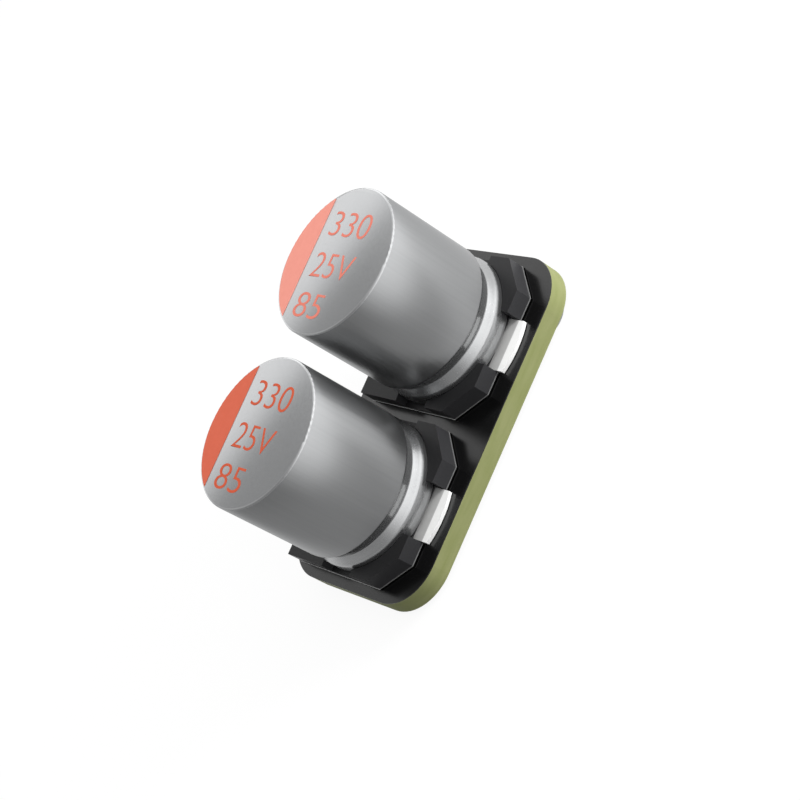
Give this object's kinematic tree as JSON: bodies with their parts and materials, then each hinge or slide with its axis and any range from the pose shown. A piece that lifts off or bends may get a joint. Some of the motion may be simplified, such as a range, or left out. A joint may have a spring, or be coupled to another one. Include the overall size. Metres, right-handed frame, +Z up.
{
  "type": "capacitor module",
  "caption": "Surface-mount aluminium electrolytic capacitors side by side on a small black circuit board with round corners and tinned wire pads underneath, to smooth a supply.",
  "frame": {"origin": "under the middle of the board, level with the faces of the wire pads", "axes": "+Z up through the tops of the cans; +X along the board's long side, towards the end with the wire pads; +Y towards the negative terminals"},
  "size_m": [0.0236, 0.0138, 0.0128],
  "materials": {
    "fr4": "routed glass-epoxy edge",
    "solder_mask": "black, semi-gloss",
    "copper": "etched foil",
    "solder": "reflowed tin",
    "can": "drawn, satin",
    "seal": "moulded",
    "winding": "wound foil and paper",
    "tab": "pressed",
    "terminal": "bright tin plate",
    "base": "moulded, fine grain",
    "ink": "printed ink"
  },
  "bodies": {
    "root": {"board_core": "fr4", "top_solder_mask": "solder_mask", "bottom_solder_mask": "solder_mask", "positive_top_copper": "copper", "negative_top_copper": "copper", "positive_bottom_copper": "copper", "negative_bottom_copper": "copper", "positive_vias": "copper", "negative_vias": "copper", "positive_wire_pad": "solder", "negative_wire_pad": "solder", "solder_joints": "solder", "left_can": "can", "left_seal": "seal", "left_winding": "winding", "left_anode_tab": "tab", "left_cathode_tab": "tab", "left_anode_terminal": "terminal", "left_cathode_terminal": "terminal", "left_base": "base", "left_polarity_mark": "ink", "right_can": "can", "right_seal": "seal", "right_winding": "winding", "right_anode_tab": "tab", "right_cathode_tab": "tab", "right_anode_terminal": "terminal", "right_cathode_terminal": "terminal", "right_base": "base", "right_polarity_mark": "ink"}
  },
  "joints": []
}
